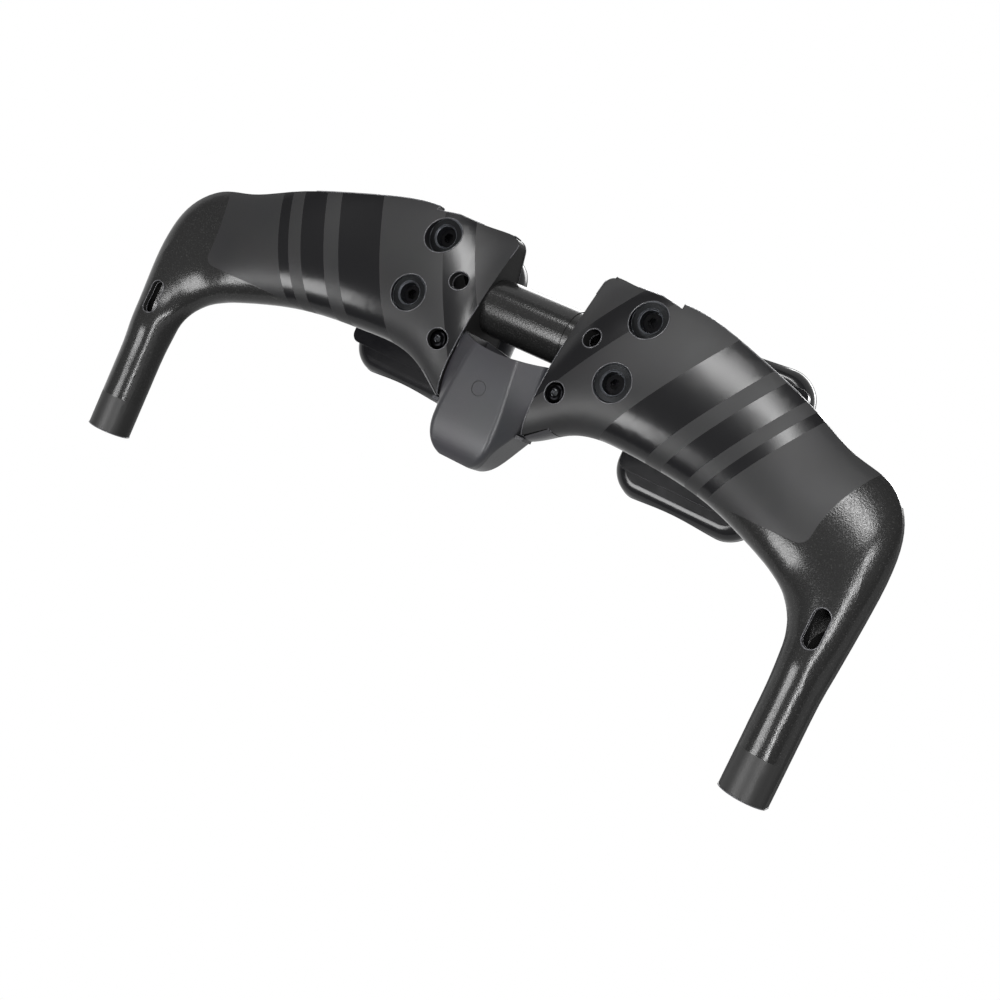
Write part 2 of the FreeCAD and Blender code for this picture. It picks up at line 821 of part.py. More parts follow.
# Bracket: foot, front block with the split ring, rear post and the plate under the cup
foot = prism(
    "foot",
    box_corners("Sizes.bracket_inner", "Sizes.bracket_outer", "Sizes.bracket_rear", "Sizes.ring_front"),
    "Sizes.seat_z",
    "Sizes.seat_z + Sizes.foot_height",
    "Sizes.bracket_corner",
)
front_block = prism(
    "front_block",
    box_corners("Sizes.bracket_inner", "Sizes.bracket_outer", "Sizes.ring_rear", "Sizes.ring_front"),
    "Sizes.seat_z",
    "Sizes.bracket_top",
    "Sizes.bracket_corner",
)
rear_post = prism(
    "rear_post",
    box_corners(
        "Sizes.bracket_inner + 4",
        "Sizes.bracket_outer - 4",
        "Sizes.bracket_rear",
        "Sizes.rear_post_front",
    ),
    "Sizes.seat_z",
    "Sizes.bracket_top",
    "Sizes.bracket_corner",
)
plate = prism(
    "plate",
    box_corners("Sizes.step_inner", "Sizes.plate_outer", "Sizes.bracket_rear", "Sizes.ring_front"),
    "Sizes.plate_z",
    "Sizes.bracket_top",
    "Sizes.bracket_corner",
)
ring_place = ("Sizes.extension_x", "0", "Sizes.extension_z")
ring_length = "Sizes.ring_front - Sizes.ring_rear"
ring = cylinder("ring", "Sizes.ring_diameter", "Sizes.ring_rear", ring_length, ring_place, "Y")
extension_bore = cylinder(
    "extension_bore", "Sizes.extension_diameter", "Sizes.ring_rear", ring_length, ring_place, "Y"
)
slit = prism(
    "slit_cutter",
    box_corners(
        "Sizes.extension_x",
        "Sizes.bracket_outer + 1",
        "Sizes.ring_rear - 1",
        "Sizes.ring_front + 1",
    ),
    "Sizes.extension_z - Sizes.slit / 2",
    "Sizes.extension_z + Sizes.slit / 2",
)
thread_holes = [
    cylinder(
        end + "_thread",
        "Sizes.bolt_diameter + 2 * Sizes.fit_gap",
        "Sizes.seat_z - 1",
        "Sizes.thread_end + Sizes.touch_gap - Sizes.seat_z + 1",
        spot + ("0",),
    )
    for end, spot in bolt_spots.items()
]
cup_spots = {"rear": "Sizes.cup_screw_rear", "front": "Sizes.cup_screw_front"}
cup_threads = [
    cylinder(
        end + "_cup_thread",
        "Sizes.cup_screw_diameter + 2 * Sizes.fit_gap",
        "Sizes.plate_z - 1",
        "Sizes.bracket_top - Sizes.plate_z + 2",
        ("Sizes.cup_screw_x", y, "0"),
    )
    for end, y in cup_spots.items()
]
right_bracket = cut(
    "right_bracket",
    fuse("bracket_solid", foot, front_block, rear_post, plate, ring),
    extension_bore,
    slit,
    *thread_holes,
    *cup_threads
)
left_bracket = mirrored("left_bracket", right_bracket)

# Arm cup: a shallow trough with a stepped underside
cup_base = "Sizes.bracket_top + Sizes.cup_step"
cup_rim = cup_base + " + Sizes.cup_height"
cup_outline = (
    ("Sizes.cup_rear_inner", "Sizes.cup_rear"),
    ("Sizes.cup_rear_outer", "Sizes.cup_rear"),
    ("Sizes.cup_front_outer", "Sizes.cup_front"),
    ("Sizes.cup_front_inner", "Sizes.cup_front"),
)
cup_form = prism("cup_form", cup_outline, cup_base, cup_rim, "Sizes.cup_corner", "Sizes.cup_edge")
cup_platform = prism(
    "cup_platform",
    box_corners("Sizes.step_inner", "Sizes.step_outer", "Sizes.step_rear", "Sizes.step_front"),
    "Sizes.bracket_top",
    cup_base + " + 2",
    "Sizes.bracket_corner",
)
trough_low = cup_base + " + Sizes.cup_floor"
trough_axis = trough_low + " + Sizes.trough_radius"
trough_place = ("Sizes.trough_x", "0", trough_axis)


def trough(name, drop):
    # A long round body along the forearm whose lowest line lies above the cup's floor by the given height.
    radius = "2 * (Sizes.trough_radius - (%s))" % drop
    return cylinder(name, radius, "3 * Sizes.cup_rear", "6 * Sizes.cup_front", trough_place, "Y")


washer_seat = trough_low + " - Sizes.cup_floor"
cup_cuts = [trough("cup_trough", "0")]
cup_fixings = []
cup_rings = []
for end, y in cup_spots.items():
    place = ("Sizes.cup_screw_x", y, "0")
    well = "Sizes.washer_diameter + 4 * Sizes.fit_gap"
    cup_cuts.append(cylinder(end + "_cup_well", well, washer_seat, "Sizes.cup_height", place))
    loose = "Sizes.cup_screw_diameter + 4 * Sizes.fit_gap"
    cup_cuts.append(cylinder(end + "_cup_hole", loose, "Sizes.plate_z", "Sizes.trough_radius", place))
    disc = cylinder(end + "_disc", "Sizes.washer_diameter", washer_seat, "Sizes.washer_height", place)
    eye = cylinder(end + "_eye", loose, washer_seat, "Sizes.washer_height", place)
    washer = cut(end + "_washer", disc, eye)
    cup_rings += [washer, mirrored("other_%s_washer" % end, washer)]
    seat_height = washer_seat + " + Sizes.washer_height"
    fixing = screw(
        end + "_cup_screw",
        "Sizes.cup_screw_diameter",
        seat_height + " - Sizes.plate_z",
        "Sizes.cup_head_diameter",
        "Sizes.cup_head_height",
        "Sizes.cup_socket",
        seat_height,
        place,
        False,
    )
    cup_fixings += [fixing, mirrored("other_%s_cup_screw" % end, fixing)]
right_cup = cut("right_cup", fuse("cup_solid", cup_form, cup_platform), *cup_cuts)
left_cup = mirrored("left_cup", right_cup)
cup_screws = group("cup_screws", *cup_fixings)
cup_washers = group("cup_washers", *cup_rings)

# Pad: follows the trough above the patches, and its border lies on the rim of the cup
back = "Sizes.pad_inset"
pad_outline = (
    ("Sizes.cup_rear_inner + " + back, "Sizes.cup_rear + " + back),
    ("Sizes.cup_rear_outer - " + back, "Sizes.cup_rear + " + back),
    ("Sizes.cup_front_outer - " + back, "Sizes.cup_front - " + back),
    ("Sizes.cup_front_inner + " + back, "Sizes.cup_front - " + back),
)
pad_corner = "Sizes.cup_corner - " + back
pad_top = cup_rim + " + Sizes.pad_height"
pad_lift = "Sizes.patch_thickness + 2 * Sizes.touch_gap"
pad_border = prism("pad_border", pad_outline, cup_rim + " + Sizes.touch_gap", pad_top, pad_corner)
pad_block = prism("pad_block", pad_outline, cup_base, pad_top, pad_corner)
pad_belly = common("pad_belly", pad_block, trough("pad_under", pad_lift))
pad_hollow = trough("pad_hollow", pad_lift + " + Sizes.pad_thickness")
right_pad = cut("right_pad", fuse("pad_solid", pad_border, pad_belly), pad_hollow)
left_pad = mirrored("left_pad", right_pad)

patch_outer = trough("patch_outer", "Sizes.touch_gap")
patch_inner = trough("patch_inner", "Sizes.touch_gap + Sizes.patch_thickness")
patch_layer = cut("patch_layer", patch_outer, patch_inner)
cup_middle = "(Sizes.cup_front + Sizes.cup_rear) / 2"
patches = []
for name, side in (("inner", "-"), ("outer", "+")):
    middle = "Sizes.trough_x %s Sizes.patch_offset" % side
    strip = prism(
        name + "_strip",
        box_corners(
            middle + " - Sizes.patch_width / 2",
            middle + " + Sizes.patch_width / 2",
            cup_middle + " - Sizes.patch_length / 2",
            cup_middle + " + Sizes.patch_length / 2",
        ),
        cup_base,
        pad_top,
        "Sizes.patch_thickness",
    )
    patches.append(common(name + "_patch", patch_layer, strip))
right_patches = group("right_pad_patches", *patches)
left_patches = mirrored("left_pad_patches", right_patches)

nodes = {
    "base_bar": base_bar,
    "nose_cover": nose_cover,
    "cover_plug": cover_plug,
    "cover_screws": cover_screws,
    "cover_inserts": cover_inserts,
    "bolt_bushings": bolt_bushings,
    "front_bracket_bolts": bolts["front"],
    "rear_bracket_bolts": bolts["rear"],
    "right_bracket": right_bracket,
    "left_bracket": left_bracket,
    "right_cup": right_cup,
    "left_cup": left_cup,
    "cup_screws": cup_screws,
    "cup_washers": cup_washers,
    "right_pad": right_pad,
    "left_pad": left_pad,
    "right_pad_patches": right_patches,
    "left_pad_patches": left_patches,
}
doc.recompute()
for item in doc.Objects:
    if "Invalid" in item.State or "Error" in item.State:
        raise RuntimeError("not built: " + item.Name)
os.makedirs("parts", exist_ok=True)
for label, item in nodes.items():
    item.Label = label
    shape = item.Shape
    if shape.isNull() or not shape.isValid():
        raise RuntimeError("not sound: " + label)
    shape.exportStep("parts/" + label + ".step")
    print(label, len(shape.Solids), round(shape.Volume / 1000, 2), "cm3")
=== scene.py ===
import math

import bmesh
import bpy
from mathutils import Matrix, Vector


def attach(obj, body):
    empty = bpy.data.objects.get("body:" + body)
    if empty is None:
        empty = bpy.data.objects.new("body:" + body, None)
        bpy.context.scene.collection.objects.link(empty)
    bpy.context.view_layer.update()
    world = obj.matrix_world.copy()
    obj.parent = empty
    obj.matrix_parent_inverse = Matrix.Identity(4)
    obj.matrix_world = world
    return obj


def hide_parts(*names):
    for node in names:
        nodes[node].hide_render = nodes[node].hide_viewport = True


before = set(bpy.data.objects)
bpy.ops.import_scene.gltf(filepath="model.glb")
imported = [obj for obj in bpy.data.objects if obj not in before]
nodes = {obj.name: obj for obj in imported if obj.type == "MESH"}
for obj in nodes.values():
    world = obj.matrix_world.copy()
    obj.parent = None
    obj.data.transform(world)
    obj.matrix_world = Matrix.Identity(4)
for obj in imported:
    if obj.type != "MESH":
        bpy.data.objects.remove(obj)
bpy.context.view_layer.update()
scene = bpy.context.scene
scene.view_settings.view_transform = "Standard"
mm = 0.001  # lengths below are in mm, apart from places and sizes in the studio, which are in m
print("frame loaded:", len(nodes), "nodes")


def linear(hexText):
    parts = [int(hexText[k:k + 2], 16) / 255 for k in (1, 3, 5)]
    parts = [p / 12.92 if p <= 0.04045 else ((p + 0.055) / 1.055) ** 2.4 for p in parts]
    return (*parts, 1)


# settings go to the node's own properties or, failing that, to its inputs
def addNode(tree, kind, settings=None, links=None):
    node = tree.nodes.new(kind)
    for name, value in (settings or {}).items():
        if isinstance(name, str) and hasattr(node, name):
            setattr(node, name, value)
        else:
            node.inputs[name].default_value = value
    for name, socket in (links or {}).items():
        tree.links.new(socket, node.inputs[name])
    return node


def newMaterial(name):
    material = bpy.data.materials.new(name)
    material.use_nodes = True
    tree = material.node_tree
    tree.nodes.clear()
    shader = addNode(tree, "ShaderNodeBsdfPrincipled")
    addNode(tree, "ShaderNodeOutputMaterial", {}, {"Surface": shader.outputs[0]})
    place = addNode(tree, "ShaderNodeTexCoord").outputs["Object"]
    return material, tree, shader, place


# constants and links of a material's own shader
def setShader(tree, shader, settings, links):
    for name, value in settings.items():
        shader.inputs[name].default_value = value
    for name, socket in links.items():
        tree.links.new(socket, shader.inputs[name])


# one noise for the colour, the roughness and, where there is a bump, the height of an even surface
def grainMaterial(name, look):
    material, tree, shader, place = newMaterial(name)
    grain = addNode(tree, "ShaderNodeTexNoise", {"Scale": 1 / (look["grain"] * mm), "Detail": look["detail"]},
                    {"Vector": place})
    if "shade" in look:
        tone = addNode(tree, "ShaderNodeMix", {
            "data_type": "RGBA", "blend_type": "MULTIPLY", 0: look["shade"], 6: linear(look["colour"])},
            {7: grain.outputs["Color"]})
    else:
        tone = addNode(tree, "ShaderNodeMix", {
            "data_type": "RGBA", 6: linear(look["colour"]), 7: linear(look["second"])},
            {0: grain.outputs["Fac"]})
    rough = addNode(tree, "ShaderNodeMapRange", {"To Min": look["rough"][0], "To Max": look["rough"][1]},
                    {"Value": grain.outputs["Fac"]})
    links = {"Base Color": tone.outputs[2], "Roughness": rough.outputs[0]}
    if "bump" in look:
        bump = addNode(tree, "ShaderNodeBump", {"Strength": look["bump"], "Distance": look["height"] * mm},
                       {"Height": grain.outputs["Fac"]})
        links["Normal"] = bump.outputs[0]
    setShader(tree, shader, look["shader"], links)
    return material


# distance from the bar's middle plane, so that both sides are alike, and the three axes
def bothSides(tree, place):
    axes = addNode(tree, "ShaderNodeSeparateXYZ", {}, {0: place}).outputs
    side = addNode(tree, "ShaderNodeMath", {"operation": "ABSOLUTE"}, {0: axes["X"]})
    return side.outputs[0], axes


# distance from an axis, whose place in the other two directions is given in mm
def fromAxis(tree, first, second, centre):
    spot = addNode(tree, "ShaderNodeCombineXYZ", {}, {"X": first, "Y": second})
    centre = (centre[0] * mm, centre[1] * mm, 0.0)
    reach = addNode(tree, "ShaderNodeVectorMath", {"operation": "DISTANCE", 1: centre}, {0: spot.outputs[0]})
    return reach.outputs["Value"]


# 1 for what the camera, a mirror or a clear piece sees, 0 for the light on dull surfaces
def seenRays(tree):
    path = addNode(tree, "ShaderNodeLightPath").outputs
    seen = path["Is Camera Ray"]
    for ray in ("Is Glossy Ray", "Is Transmission Ray"):
        seen = addNode(tree, "ShaderNodeMath", {"operation": "MAXIMUM"}, {0: seen, 1: path[ray]}).outputs[0]
    return seen


def dress(material, *names):
    for name in names:
        nodes[name].material_slots[0].material = material


def addObject(name, data):
    piece = bpy.data.objects.new(name, data)
    scene.collection.objects.link(piece)
    return piece


def meshOf(piece):
    bpy.context.view_layer.update()
    graph = bpy.context.evaluated_depsgraph_get()
    return bpy.data.meshes.new_from_object(piece.evaluated_get(graph), depsgraph=graph)


# a tree that takes a mesh and the named inputs, with the identifier of each input
def newTree(name, inputs):
    tree = bpy.data.node_groups.new(name, "GeometryNodeTree")
    tree.interface.new_socket("Geometry", in_out="INPUT", socket_type="NodeSocketGeometry")
    sockets = {}
    for label, kind in inputs.items():
        socket = tree.interface.new_socket(label, in_out="INPUT", socket_type="NodeSocket" + kind)
        sockets[label] = socket.identifier
    tree.interface.new_socket("Geometry", in_out="OUTPUT", socket_type="NodeSocketGeometry")
    return tree, sockets, addNode(tree, "NodeGroupInput").outputs


def closeTree(tree, geometry, finish):
    real = addNode(tree, "GeometryNodeRealizeInstances", {}, {"Geometry": geometry})
    done = addNode(tree, "GeometryNodeSetMaterial", {}, {"Geometry": real.outputs[0], "Material": finish})
    addNode(tree, "NodeGroupOutput", {}, {"Geometry": done.outputs[0]})


# runs a tree on a piece and leaves a plain mesh
def growMesh(piece, tree, sockets, values):
    maker = piece.modifiers.new(tree.name, "NODES")
    maker.node_group = tree
    for label, value in values.items():
        maker[sockets[label]] = value
    piece.data = meshOf(piece)
    piece.modifiers.remove(maker)


# camera and studio
cameraLook = {"place": (0.319, 0.0296, -0.6175), "view": (-0.431, 0.091, 0.898),
              "right": (0.802, -0.416, 0.427), "nearest": 0.01, "lens": 46.8, "sensor": 36}
view = Vector(cameraLook["view"]).normalized()
right = Vector(cameraLook["right"])
right = (right - view * right.dot(view)).normalized()
up = right.cross(view)
cameraData = bpy.data.cameras.new("photoCamera")
cameraData.lens = cameraLook["lens"]
cameraData.sensor_width = cameraLook["sensor"]
cameraData.clip_start = cameraLook["nearest"]
camera = addObject("photoCamera", cameraData)
turned = Matrix((right, up, -view)).transposed().to_4x4()
camera.matrix_world = Matrix.Translation(cameraLook["place"]) @ turned
scene.camera = camera

# name: place, direction of the long side, length, width, watts
softboxes = {
    "rearBox": ((-0.18, -0.64, -0.83), (0.90, 0.43, 0.0), 0.56, 0.12, 6.3),
    "underBox": ((0.45, 0.00, -0.92), (0.38, 0.92, 0.0), 1.05, 0.10, 11.0),
    "frontBox": ((-0.27, 0.40, -0.92), (1.0, 0.0, 0.0), 0.45, 0.40, 8.8),
    "topBox": ((-0.10, -0.55, 1.35), (1.0, 0.0, 0.0), 1.10, 1.10, 20.0),
    "backTopBox": ((-0.67, -0.82, 1.04), (1.0, 0.0, 0.0), 0.90, 0.60, 9.0),
}
for name, (spot, longSide, length, width, watts) in softboxes.items():
    lampData = bpy.data.lights.new(name, "AREA")
    lampData.shape = "RECTANGLE"
    lampData.size = length
    lampData.size_y = width
    lampData.energy = watts
    lamp = addObject(name, lampData)
    back = Vector(spot).normalized()
    across = back.cross(Vector(longSide)).normalized()
    turned = Matrix((across.cross(back), across, back)).transposed().to_4x4()
    lamp.matrix_world = Matrix.Translation(spot) @ turned

# white to look at, with little light of its own
worldLook = {"light": 0.08, "seen": 1.0}
world = bpy.data.worlds.new("whiteStudio")
scene.world = world
world.use_nodes = True
tree = world.node_tree
tree.nodes.clear()
level = addNode(tree, "ShaderNodeMapRange", {"To Min": worldLook["light"], "To Max": worldLook["seen"]},
                {"Value": seenRays(tree)})
sky = addNode(tree, "ShaderNodeBackground", {"Color": (1, 1, 1, 1)}, {"Strength": level.outputs[0]})
addNode(tree, "ShaderNodeOutputWorld", {}, {"Surface": sky.outputs[0]})

# matte paper floor, seen a little paler than its light makes it
floorLook = {"below": 1.4, "half": 4.0, "colour": "#f2f1ef", "pale": 0.15, "grain": 0.025,
             "rough": (0.86, 0.94)}
floorMesh = bpy.data.meshes.new("studioFloor")
half, low = floorLook["half"], -floorLook["below"]
floorMesh.from_pydata([(-half, -half, low), (half, -half, low), (half, half, low), (-half, half, low)],
                      [], [(0, 1, 2, 3)])
studioFloor = addObject("studioFloor", floorMesh)
material, tree, shader, place = newMaterial("matteStudioPaper")
paper = addNode(tree, "ShaderNodeTexNoise", {"Scale": 1 / floorLook["grain"], "Detail": 2.0},
                {"Vector": place})
rough = addNode(tree, "ShaderNodeMapRange",
                {"To Min": floorLook["rough"][0], "To Max": floorLook["rough"][1]},
                {"Value": paper.outputs["Fac"]})
pale = addNode(tree, "ShaderNodeMath", {"operation": "MULTIPLY", 1: floorLook["pale"]}, {0: seenRays(tree)})
setShader(tree, shader, {"Base Color": linear(floorLook["colour"])},
          {"Roughness": rough.outputs[0], "Emission Strength": pale.outputs[0]})
floorMesh.materials.append(material)
print("camera and studio set")

# moulded carbon bar: satin grey paint with gloss black bands, black grit on the horns and the clamp tube,
# smooth ends where the levers go in
dullSurface = 0.3  # specular level of paint and plastic, low because the photo's blacks mirror little
barLook = {
    # the grit's paler flecks are partly its grain and partly a painted sparkle of small highlights
    "satin": "#171718", "gloss": "#08080a", "grit": "#161616", "sparkleFleck": "#2d2d2d", "end": "#1b1b1b",
    # the near-black tone below is painted shade, inside the horns and on the wings' inner ends
    "paintedShadeAndGlint": "#040404",
    "satinRough": (0.42, 0.5), "glossRough": 0.22, "gritRough": (0.26, 0.1), "endRough": 0.46,
    "sideRough": 0.95, "paintedShadeRough": 0.9,
    "haze": 60.0, "hazeShade": 0.12,  # clouds in a metre and how far they darken the satin
    # slanted bands, start and end along the wing
    "bands": [(30, 50), (92, 120), (130, 146), (154, 161)], "bandSpan": 200, "slant": 0.62,
    # gritted tip: where it starts, its rounded corner, its swept inner edge and how its front edge fades
    "gritX": 188.5, "gritY": 44.6, "gritCorner": 6.0, "sweepFrom": 3.6, "gritSweep": 8.5,
    "fadeX": (90, 130), "fadeBy": 50, "softEdge": 0.2, "tubeX": 27.3, "endY": 136.2,
    "gritSize": 0.8, "gritHeight": 0.07,  # real grit is about 0.3 mm, too fine to show
    "sparkleFleckLevels": (0.56, 0.74), "gritLevels": (0.35, 0.65),
    # inside of the horns, flat inner ends of the wings and sides of the horns; how far a face looks sideways
    "hornX": 210, "hornZ": -35.5, "boreRadius": 9.8, "boreY": 62,
    "cutX": 50, "cutFacing": (0.5, 0.8), "hornFrom": 180, "sideFacing": (0.7, 0.92),
}
barPaint, tree, shader, place = newMaterial("satinPaintOnCarbon")
side, axes = bothSides(tree, place)
ahead = axes["Y"]

# rounded corner between the satin wing and the gritted tip
sweep = addNode(tree, "ShaderNodeMath",
                {"operation": "SUBTRACT", 0: (barLook["gritY"] - barLook["sweepFrom"]) * mm}, {1: ahead})
sweep = addNode(tree, "ShaderNodeMath", {"operation": "MAXIMUM", 1: 0.0}, {0: sweep.outputs[0]})
sweep = addNode(tree, "ShaderNodeMath", {"operation": "POWER", 1: 2.0}, {0: sweep.outputs[0]})
sweep = addNode(tree, "ShaderNodeMath", {"operation": "MULTIPLY", 1: barLook["gritSweep"]},
                {0: sweep.outputs[0]})
past = addNode(tree, "ShaderNodeMath", {"operation": "SUBTRACT"}, {0: side, 1: sweep.outputs[0]})
fade = addNode(tree, "ShaderNodeMapRange", {
    "From Min": barLook["fadeX"][0] * mm, "From Max": barLook["fadeX"][1] * mm,
    "To Min": barLook["fadeBy"] * mm, "To Max": 0.0}, {"Value": side})
front = addNode(tree, "ShaderNodeMath", {"operation": "SUBTRACT"}, {0: ahead, 1: fade.outputs[0]})
legs = {}
for axis, leg, limit in (("X", past, barLook["gritX"]), ("Y", front, barLook["gritY"])):
    inset = (limit - barLook["gritCorner"]) * mm
    leg = addNode(tree, "ShaderNodeMath", {"operation": "SUBTRACT", 1: inset}, {0: leg.outputs[0]})
    leg = addNode(tree, "ShaderNodeMath", {"operation": "MAXIMUM", 1: 0.0}, {0: leg.outputs[0]})
    legs[axis] = leg.outputs[0]
corner = addNode(tree, "ShaderNodeCombineXYZ", {}, legs)
corner = addNode(tree, "ShaderNodeVectorMath", {"operation": "LENGTH"}, {0: corner.outputs[0]})
masks = []
for limit, reach in ((barLook["gritCorner"], corner.outputs["Value"]), (barLook["endY"], ahead)):
    start, stop = (limit - barLook["softEdge"]) * mm, (limit + barLook["softEdge"]) * mm
    mask = addNode(tree, "ShaderNodeMapRange", {"From Min": start, "From Max": stop}, {"Value": reach})
    masks.append(mask.outputs[0])
tipMask, endMask = masks
tubeMask = addNode(tree, "ShaderNodeMath", {"operation": "LESS_THAN", 1: barLook["tubeX"] * mm}, {0: side})
gritMask = addNode(tree, "ShaderNodeMath", {"operation": "MAXIMUM"}, {0: tipMask, 1: tubeMask.outputs[0]})
notEnd = addNode(tree, "ShaderNodeMath", {"operation": "SUBTRACT", 0: 1.0}, {1: endMask})
gritMask = addNode(tree, "ShaderNodeMath", {"operation": "MULTIPLY"},
                   {0: gritMask.outputs[0], 1: notEnd.outputs[0]}).outputs[0]

# slanted bands along the wing
lean = addNode(tree, "ShaderNodeMath", {"operation": "MULTIPLY", 1: barLook["slant"]}, {0: ahead})
along = addNode(tree, "ShaderNodeMath", {"operation": "ADD"}, {0: side, 1: lean.outputs[0]})
along = addNode(tree, "ShaderNodeMapRange", {"From Min": 0.0, "From Max": barLook["bandSpan"] * mm},
                {"Value": along.outputs[0]})
bandRamp = addNode(tree, "ShaderNodeValToRGB", {}, {"Fac": along.outputs[0]})
bandRamp.color_ramp.interpolation = "CONSTANT"
stops = bandRamp.color_ramp.elements
stops[0].color = (0, 0, 0, 1)
stops.remove(stops[1])
for start, end in barLook["bands"]:
    stops.new(start / barLook["bandSpan"]).color = (1, 1, 1, 1)
    stops.new(end / barLook["bandSpan"]).color = (0, 0, 0, 1)
bandMask = bandRamp.outputs["Color"]

# painted shade: near-black inside the horns
fromBore = fromAxis(tree, side, axes["Z"], (barLook["hornX"], barLook["hornZ"]))
insideBore = addNode(tree, "ShaderNodeMath", {"operation": "LESS_THAN", 1: barLook["boreRadius"] * mm},
                     {0: fromBore})
pastBend = addNode(tree, "ShaderNodeMath", {"operation": "GREATER_THAN", 1: barLook["boreY"] * mm},
                   {0: ahead})
boreMask = addNode(tree, "ShaderNodeMath", {"operation": "MULTIPLY"},
                   {0: insideBore.outputs[0], 1: pastBend.outputs[0]}).outputs[0]

# painted shade: the wings' flat inner ends, found by which way their faces look, are painted near-black; the
# sides of the horns are made rough, which darkens them
facing = addNode(tree, "ShaderNodeNewGeometry")
facing = addNode(tree, "ShaderNodeSeparateXYZ", {}, {0: facing.outputs["True Normal"]})
facing = addNode(tree, "ShaderNodeMath", {"operation": "ABSOLUTE"}, {0: facing.outputs["X"]})
masks = []
for levels, where, limit in ((barLook["cutFacing"], "LESS_THAN", barLook["cutX"]),
                             (barLook["sideFacing"], "GREATER_THAN", barLook["hornFrom"])):
    sideways = addNode(tree, "ShaderNodeMapRange", {"From Min": levels[0], "From Max": levels[1]},
                       {"Value": facing.outputs[0]})
    there = addNode(tree, "ShaderNodeMath", {"operation": where, 1: limit * mm}, {0: side})
    mask = addNode(tree, "ShaderNodeMath", {"operation": "MULTIPLY"},
                   {0: sideways.outputs[0], 1: there.outputs[0]})
    masks.append(mask.outputs[0])
cutMask, sideMask = masks

haze = addNode(tree, "ShaderNodeTexNoise", {"Scale": barLook["haze"], "Detail": 3.0}, {"Vector": place})
speckle = addNode(tree, "ShaderNodeTexNoise",
                  {"Scale": 1 / (barLook["gritSize"] * mm), "Detail": 2.0, "Roughness": 0.6},
                  {"Vector": place})
# paler flecks in the grit: partly its grain, partly a painted sparkle of small highlights
sparkleFleck = addNode(tree, "ShaderNodeValToRGB", {}, {"Fac": speckle.outputs["Fac"]})
tones = (barLook["grit"], barLook["sparkleFleck"])
for stop, level, tone in zip(sparkleFleck.color_ramp.elements, barLook["sparkleFleckLevels"], tones):
    stop.position = level
    stop.color = linear(tone)
colour = addNode(tree, "ShaderNodeMix", {
    "data_type": "RGBA", "blend_type": "MULTIPLY", 0: barLook["hazeShade"], 6: linear(barLook["satin"])},
    {7: haze.outputs["Color"]})
colour = addNode(tree, "ShaderNodeMix", {"data_type": "RGBA", 7: linear(barLook["gloss"])},
                 {0: bandMask, 6: colour.outputs[2]})
colour = addNode(tree, "ShaderNodeMix", {"data_type": "RGBA"},
                 {0: gritMask, 6: colour.outputs[2], 7: sparkleFleck.outputs[0]})
# the smooth ends in their own colour; painted shade inside the horns and on the wings' inner ends
for mask, tone in ((endMask, barLook["end"]), (boreMask, barLook["paintedShadeAndGlint"]), (cutMask, barLook["paintedShadeAndGlint"])):
    colour = addNode(tree, "ShaderNodeMix", {"data_type": "RGBA", 7: linear(tone)},
                     {0: mask, 6: colour.outputs[2]})

rough = addNode(tree, "ShaderNodeMapRange",
                {"To Min": barLook["satinRough"][0], "To Max": barLook["satinRough"][1]},
                {"Value": haze.outputs["Fac"]})
rough = addNode(tree, "ShaderNodeMix", {"data_type": "FLOAT", 3: barLook["glossRough"]},
                {0: bandMask, 2: rough.outputs[0]})
gritRough = addNode(tree, "ShaderNodeMapRange", {
    "From Min": barLook["gritLevels"][0], "From Max": barLook["gritLevels"][1],
    "To Min": barLook["gritRough"][0], "To Max": barLook["gritRough"][1]}, {"Value": speckle.outputs["Fac"]})
rough = addNode(tree, "ShaderNodeMix", {"data_type": "FLOAT"},
                {0: gritMask, 2: rough.outputs[0], 3: gritRough.outputs[0]})
for mask, level in ((endMask, barLook["endRough"]), (sideMask, barLook["sideRough"]),
                    (boreMask, barLook["paintedShadeRough"]), (cutMask, barLook["paintedShadeRough"])):
    rough = addNode(tree, "ShaderNodeMix", {"data_type": "FLOAT", 3: level}, {0: mask, 2: rough.outputs[0]})
gritHeight = addNode(tree, "ShaderNodeMath", {"operation": "MULTIPLY"},
                     {0: speckle.outputs["Fac"], 1: gritMask})
bump = addNode(tree, "ShaderNodeBump", {"Strength": 0.8, "Distance": barLook["gritHeight"] * mm},
               {"Height": gritHeight.outputs[0]})
setShader(tree, shader, {"Specular IOR Level": dullSurface},
          {"Base Color": colour.outputs[2], "Roughness": rough.outputs[0], "Normal": bump.outputs[0]})
dress(barPaint, "base_bar")
print("bar painted")

# moulded ABS cover: even spark-eroded grain that spreads its highlights, drawn coarse because the real one
# is too fine to show; the seam round the plug looks black
coverLook = {"colour": "#29292c", "seam": "#101011", "rough": (0.32, 0.42), "grain": 0.5, "height": 0.2,
             "cloud": 45.0, "cloudShade": 0.15,  # clouds in a metre and how far they darken it
             "plugY": 43.0, "seamRadius": 3.95, "seamHalf": 0.2, "seamBelow": -25.0}
coverPlastic, tree, shader, place = newMaterial("mouldedAbs")
grain = addNode(tree, "ShaderNodeTexNoise", {"Scale": 1 / (coverLook["grain"] * mm), "Detail": 3.0},
                {"Vector": place})
cloud = addNode(tree, "ShaderNodeTexNoise", {"Scale": coverLook["cloud"], "Detail": 2.0}, {"Vector": place})
tone = addNode(tree, "ShaderNodeMix", {
    "data_type": "RGBA", "blend_type": "MULTIPLY", 0: coverLook["cloudShade"],
    6: linear(coverLook["colour"])}, {7: cloud.outputs["Color"]})
side, axes = bothSides(tree, place)
fromPlug = fromAxis(tree, side, axes["Y"], (0.0, coverLook["plugY"]))
seam = addNode(tree, "ShaderNodeMath",
               {"operation": "COMPARE", 1: coverLook["seamRadius"] * mm, 2: coverLook["seamHalf"] * mm},
               {0: fromPlug})
under = addNode(tree, "ShaderNodeMath", {"operation": "LESS_THAN", 1: coverLook["seamBelow"] * mm},
                {0: axes["Z"]})
